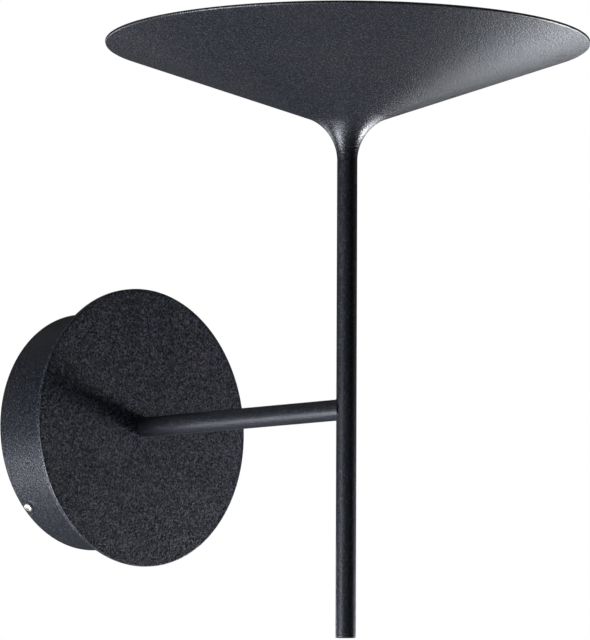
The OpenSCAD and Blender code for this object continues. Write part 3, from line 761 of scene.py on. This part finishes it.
class LIGHT_OT_diffuser(Operator):
    """Makes the opal disc, its seat on the cone and its retaining ring"""

    bl_idname = "wall_light.diffuser"
    bl_label = "Diffuser and ring"

    def seat(self):
        """The ring on the cone's inside that the opal disc lies in."""
        size = settings().shade
        wall_r = node_size("diffuser").x / 2 + 0.4 * MM
        out_r = node_size("diffuser_seat").x / 2
        in_r = node_size("diffuser").x / 2 - size.ledge
        slope = math.tan(size.slope)
        top = SEAT_HIGH.z
        ledge = OPAL_LOW.z - GAP
        edge = 0.2 * MM
        line = Outline(in_r, SEAT_LOW.z)
        line.to(out_r, SEAT_LOW.z + (out_r - in_r) * slope)
        line.to(out_r, top, edge)
        line.to(wall_r, top, edge)
        line.to(wall_r, ledge)
        line.to(in_r, ledge, edge)
        seat = as_object("diffuser_seat_ring", spun(line.close()), [AT_STEM])
        finish_piece(seat, COAT, "diffuser_seat", finish=EVEN_COAT)

    def opal_disc(self):
        """The opal disc that closes the shade."""
        radius = node_size("diffuser").x / 2
        line = Outline(0, OPAL_LOW.z)
        line.to(radius, OPAL_LOW.z, 0.4 * MM)
        line.to(radius, OPAL_HIGH.z, 0.6 * MM)
        line.to(0, OPAL_HIGH.z)
        disc = as_object("opal_disc", spun(line.close()), [AT_STEM])
        finish_piece(disc, "opal_acrylic", "diffuser")

    def ring(self):
        """The ring that holds the opal disc down."""
        out_r = node_size("diffuser_retainer").x / 2
        in_r = out_r - settings().shade.ring_width
        low, high = RETAINER_LOW.z, RETAINER_HIGH.z
        edge = 0.45 * MM
        line = Outline(in_r, low)
        line.to(out_r, low, CUT_EDGE)
        line.to(out_r, high, edge)
        line.to(in_r, high, edge)
        ring = as_object("retaining_ring", spun(line.close()), [AT_STEM])
        finish_piece(ring, COAT, "diffuser_retainer", finish=EVEN_COAT)

    def screws(self):
        """The ring's three screws, one at the back and two in front."""
        low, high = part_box("retainer_screws")
        seat = RETAINER_HIGH.z + GAP
        head = high.z - seat
        shank_r, head_r = 1.05 * MM, 2.2 * MM
        reach = ((high.x - low.x) / 2 - head_r) / math.cos(math.pi / 6)
        places = []
        for turn in (90, 210, 330):
            angle = math.radians(turn)
            at = Vector((reach * math.cos(angle), STEM_Y + reach * math.sin(angle), seat))
            places.append(Matrix.Translation(at) @ Matrix.Rotation(angle, 4, "Z"))
        made = as_object("ring_screws", pan_head_screw(shank_r, seat - low.z, head_r, head), places)
        cross_recess(made, reach=1.25 * MM, width=0.55 * MM, top=head, depth=0.8 * MM, places=places)
        finish_piece(made, "small_hardware", "retainer_screws")

    def execute(self, context):
        self.seat()
        self.opal_disc()
        self.ring()
        self.screws()
        return {"FINISHED"}


class LIGHT_OT_tubes(Operator):
    """Makes the arm, the stem and the stem's cap"""

    bl_idname = "wall_light.tubes"
    bl_label = "Arm and stem"

    def arm(self):
        """The arm, coped to the stem at its end."""
        size = settings().tubes
        start, end = -ARM_HIGH.y, -ARM_LOW.y
        inner = size.arm_radius - size.arm_wall
        line = Outline(inner, start)
        line.to(size.arm_radius, start, 0.2 * MM)
        line.to(size.arm_radius, end)
        line.to(inner, end)
        arm = as_object("arm", spun(line.close(), TUBE_STEPS), [AXIS_OUT])
        reach = 2 * size.arm_radius
        cut(arm, rod(size.stem_radius + GAP, (0, STEM_Y, -reach), (0, STEM_Y, reach), COPE_STEPS))
        finish_piece(arm, COAT, "arm_tube", finish=TUBE_COAT)

    def weld(self):
        """The thin painted bead where the arm's outside meets the stem."""
        size = settings().tubes
        least = 0.3 * size.stem_radius
        path = bpy.data.curves.new("weld", "CURVE")
        path.dimensions = "3D"
        path.bevel_depth = size.weld
        path.bevel_resolution = 3
        ring = path.splines.new("POLY")
        ring.points.add(TUBE_STEPS - 1)
        ring.use_cyclic_u = True
        for step, point in enumerate(ring.points):
            angle = math.tau * step / TUBE_STEPS
            x, z = size.arm_radius * math.cos(angle), size.arm_radius * math.sin(angle)
            reach = math.sqrt(max(size.stem_radius ** 2 - x * x, least ** 2))
            point.co = (x, STEM_Y + reach, z, 1)
        bead = in_scene("weld", path)
        made = in_scene("arm_weld", bpy.data.meshes.new_from_object(bead))
        bpy.data.objects.remove(bead)
        finish_piece(made, COAT, finish=TUBE_COAT)

    def stem(self):
        """The stem, with the hole that the lead comes in by."""
        size = settings().tubes
        low, high = STEM_LOW.z, STEM_HIGH.z
        inner = size.stem_radius - size.stem_wall
        line = Outline(inner, low)
        line.to(size.stem_radius, low, CUT_EDGE)
        line.to(size.stem_radius, high, CUT_EDGE)
        line.to(inner, high)
        stem = as_object("stem", spun(line.close(), TUBE_STEPS), [AT_STEM])
        inside, outside = STEM_Y + inner - MM, STEM_Y + 2 * size.stem_radius
        cut(stem, rod(size.lead_hole, (0, inside, 0), (0, outside, 0)))
        finish_piece(stem, COAT, "stem_tube", finish=TUBE_COAT)

    def cap(self):
        """The cap in the stem's lower end."""
        size = settings().tubes
        low, high = CAP_LOW.z, CAP_HIGH.z
        plug = size.stem_radius - size.stem_wall - GAP
        line = Outline(0, low)
        line.to(size.stem_radius, low, size.cap_chamfer)
        line.to(size.stem_radius, low + size.cap_height, CUT_EDGE)
        line.to(plug, low + size.cap_height)
        line.to(plug, high, 0.8 * MM)
        line.to(0, high)
        cap = as_object("stem_cap", spun(line.close(), TUBE_STEPS), [AT_STEM])
        finish_piece(cap, COAT, "stem_end_cap", finish=TUBE_COAT)

    def execute(self, context):
        self.arm()
        self.weld()
        self.stem()
        self.cap()
        return {"FINISHED"}


def screw_places():
    """Where the two side screws stand, with their heads outwards."""
    size = settings().canopy
    places = []
    for angle in (size.screw_angle, size.screw_angle - math.pi):
        out = Vector((math.cos(angle), 0, math.sin(angle)))
        seat = out * (size.drum_radius + GAP) + Vector((0, -size.screw_inset, 0))
        turn = out.to_track_quat("Z", "Y").to_matrix().to_4x4()
        places.append(Matrix.Translation(seat) @ turn)
    return places


class LIGHT_OT_canopy(Operator):
    """Makes the drum, the front plate and the side screws"""

    bl_idname = "wall_light.canopy"
    bl_label = "Canopy"

    def drum(self):
        """The cup on the wall, with a hole for each side screw."""
        size = settings().canopy
        depth = node_size("canopy_drum").y
        inner = size.drum_radius - size.drum_wall
        back = depth - size.drum_front
        loop = 2 * size.screw_inset
        line = Outline(inner, 0)
        line.to(size.drum_radius, 0, 0.25 * MM)
        line.to(size.drum_radius, loop)
        line.to(size.drum_radius, depth, size.drum_round)
        line.to(NIPPLE_HOLE, depth)
        line.to(NIPPLE_HOLE, back)
        line.to(inner, back, 1.2 * MM)
        line.to(inner, loop)
        drum = as_object("drum", spun(line.close()), [AXIS_OUT])
        for place in screw_places():
            reach = Vector((0, 0, 3 * size.drum_wall))
            cut(drum, rod(size.hole_radius, place @ -reach, place @ reach, HOLE_STEPS))
        finish_piece(drum, COAT, "canopy_drum", finish=EVEN_COAT)

    def front_plate(self):
        """The plate that overhangs the drum."""
        size = settings().canopy
        low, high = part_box("front_plate")
        back, face = -high.y, -low.y
        line = Outline(NIPPLE_HOLE, back)
        line.to(size.plate_radius, back, size.plate_round)
        line.to(size.plate_radius, face, size.plate_round)
        line.to(NIPPLE_HOLE, face)
        plate = as_object("round_plate", spun(line.close()), [AXIS_OUT])
        finish_piece(plate, COAT, "front_plate")

    def screws(self):
        """The two side screws."""
        size = settings().canopy
        places = screw_places()
        shank_r, shank = 1.5 * MM, 8 * MM
        screw = pan_head_screw(shank_r, shank, size.head_radius, size.head_height)
        made = as_object("side_screws", screw, places)
        cross_recess(made, reach=1.9 * MM, width=1.0 * MM, top=size.head_height, depth=1.3 * MM,
                     places=places)
        finish_piece(made, "nickel_screw", "canopy_screws")

    def execute(self, context):
        self.drum()
        self.front_plate()
        self.screws()
        return {"FINISHED"}


class LIGHT_OT_inner_pieces(Operator):
    """Gives every piece that keeps its frame mesh its finish"""

    bl_idname = "wall_light.inner_pieces"
    bl_label = "Inner pieces"

    def execute(self, context):
        for part in frame["record"]["subparts"]:
            node = NODES[part["node"]]
            slot = part["material_slot"]
            material = finish_for(slot)
            for place in node.material_slots:
                place.material = material
        return {"FINISHED"}


# Stage

# The sines of the elevations between which the reflected sky brightens.
SKY_HEIGHTS = (0.6, 1.0)

# The floor's radius, where it starts to fade, and how bright it looks before that.
FLOOR_REACH, FADE_START, FLOOR_GLOW = 9, 2, 0.82

LAMPS_MIDDLE = Vector((0.05, -0.12, 0.03))
LAMPS_REACH = 1.3
WHITE = (1, 1, 1)
COOL_WHITE = (0.93, 0.96, 1.0)

# Each soft box: the setting of its power, its bearing from +X towards +Y and its elevation in
# degrees, its width and height, and its colour.
SOFT_BOXES = {
    "key_right": ("key", -15, -21, 0.54, 0.34, WHITE),
    "kicker_right": ("kicker", 10, -17, 0.6, 0.5, COOL_WHITE),
    "low_left": ("low", 158, -33, 0.7, 0.65, WHITE),
    "side_left": ("side", 174, -14, 0.5, 0.5, WHITE),
    "under_left": ("under", 172, -60, 0.7, 0.7, WHITE),
    "behind": ("behind", 84, -12, 0.5, 0.4, WHITE),
    "top_soft": ("top", 275, 64, 0.6, 0.6, WHITE),
}


def soft_box(name, watts, bearing, elevation, width, height, tone):
    """A soft lamp that faces the wall light and isn't seen itself."""
    bearing, elevation = math.radians(bearing), math.radians(elevation)
    out = Vector((math.cos(bearing) * math.cos(elevation), math.sin(bearing) * math.cos(elevation),
                  math.sin(elevation)))
    lamp = bpy.data.lights.new(name, "AREA")
    lamp.shape = "RECTANGLE"
    lamp.size, lamp.size_y = width, height
    lamp.energy = watts
    lamp.color = tone
    made = in_scene(name, lamp)
    made.location = LAMPS_MIDDLE + LAMPS_REACH * out
    made.rotation_euler = (-out).to_track_quat("-Z", "Y").to_euler()
    made.visible_camera = False


class LIGHT_OT_stage(Operator):
    """Sets the camera, the floor, the background and the studio light"""

    bl_idname = "wall_light.stage"
    bl_label = "Camera and stage"

    def camera(self):
        """The photograph's view."""
        look = settings().stage
        side, up = math.cos(look.elevation), math.sin(look.elevation)
        back = Vector((math.sin(look.azimuth) * side, -math.cos(look.azimuth) * side, up))
        right = Vector((math.cos(look.azimuth), math.sin(look.azimuth), 0))
        turn = Matrix((right, back.cross(right), back)).transposed() @ Matrix.Rotation(look.roll, 3, "Z")
        data = bpy.data.cameras.new("camera")
        data.lens = look.lens
        data.clip_end = 50
        made = in_scene("camera", data)
        place = Vector(look.target) + back * look.distance
        made.matrix_world = Matrix.Translation(place) @ turn.to_4x4()
        bpy.context.scene.camera = made

    def background(self):
        """White where the camera looks. What shines sees it too, bright overhead and dim elsewhere."""
        look = settings().stage
        world = bpy.data.worlds.new("studio")
        world.use_nodes = True
        bpy.context.scene.world = world
        tree = world.node_tree
        ray = tree.nodes.new("ShaderNodeLightPath")
        place = tree.nodes.new("ShaderNodeTexCoord")
        height = tree.nodes.new("ShaderNodeVectorMath")
        height.operation = "DOT_PRODUCT"
        height.inputs[1].default_value = (0, 0, 1)
        tree.links.new(place.outputs["Generated"], height.inputs[0])
        sky = map_range(tree, height.outputs["Value"], SKY_HEIGHTS, (look.horizon, look.sky),
                        "SMOOTHSTEP")
        shine = arithmetic(tree, "MULTIPLY", ray.outputs["Is Glossy Ray"], sky)
        room = arithmetic(tree, "MULTIPLY", ray.outputs["Is Diffuse Ray"], look.ambient)
        bright = arithmetic(tree, "MAXIMUM", seen(tree, ray), shine)
        bright = arithmetic(tree, "MAXIMUM", bright, room)
        background = tree.nodes["Background"]
        background.inputs["Color"].default_value = (*WHITE, 1)
        tree.links.new(bright, background.inputs["Strength"])

    def floor(self):
        """A plain pale floor, which fades into the background and shows shadows."""
        bm = bmesh.new()
        bmesh.ops.create_circle(bm, cap_ends=True, segments=128, radius=FLOOR_REACH)
        floor = as_object("floor", bm, [Matrix.Translation((0, 0, settings().stage.floor))])
        made = Finish("floor_paper", (0.86, 0.86, 0.86), 0.9, specular=0.0)
        made.tint(made.noise(0.5, 2.0), (0.84, 0.84, 0.84), (0.88, 0.88, 0.88))
        fade = made.span(made.reach((1, 1, 0)), FADE_START, FLOOR_REACH, FLOOR_GLOW, 1.0)
        glow = made.product(seen(made.tree, made.node("ShaderNodeLightPath")), fade)
        made.set("Emission Color", (*WHITE, 1))
        made.link(glow, made.shader.inputs["Emission Strength"])
        floor.data.materials.append(made.material)

    def lamps(self):
        """Soft boxes: two low on the right, three on the left, one behind and one high in front."""
        for name, (setting, *shape) in SOFT_BOXES.items():
            soft_box(name, getattr(settings().stage, setting), *shape)

    def execute(self, context):
        self.camera()
        self.background()
        self.floor()
        self.lamps()
        context.scene.view_settings.view_transform = "Standard"
        return {"FINISHED"}


OPERATORS = (
    LIGHT_OT_stage, LIGHT_OT_shade, LIGHT_OT_diffuser, LIGHT_OT_tubes, LIGHT_OT_canopy,
    LIGHT_OT_inner_pieces,
)


class LIGHT_PT_panel(Panel):
    """Lists the pieces of the wall light"""

    bl_idname = "LIGHT_PT_panel"
    bl_label = "Wall light"
    bl_space_type = "VIEW_3D"
    bl_region_type = "UI"
    bl_category = "Wall light"

    def draw(self, context):
        for operator in OPERATORS:
            self.layout.operator(operator.bl_idname)
        for name in SETTINGS:
            box = self.layout.box()
            box.label(text=name.capitalize())
            group = getattr(context.scene.wall_light, name)
            for field in SETTINGS[name].__annotations__:
                box.prop(group, field)


CLASSES = (*SETTINGS.values(), WallLightSettings, *OPERATORS, LIGHT_PT_panel)


def register():
    for each in CLASSES:
        bpy.utils.register_class(each)
    bpy.types.Scene.wall_light = PointerProperty(type=WallLightSettings)


def unregister():
    del bpy.types.Scene.wall_light
    for each in reversed(CLASSES):
        bpy.utils.unregister_class(each)


def main():
    register()
    for operator in OPERATORS:
        group, name = operator.bl_idname.split(".")
        getattr(getattr(bpy.ops, group), name)()


if __name__ == "__main__":
    main()
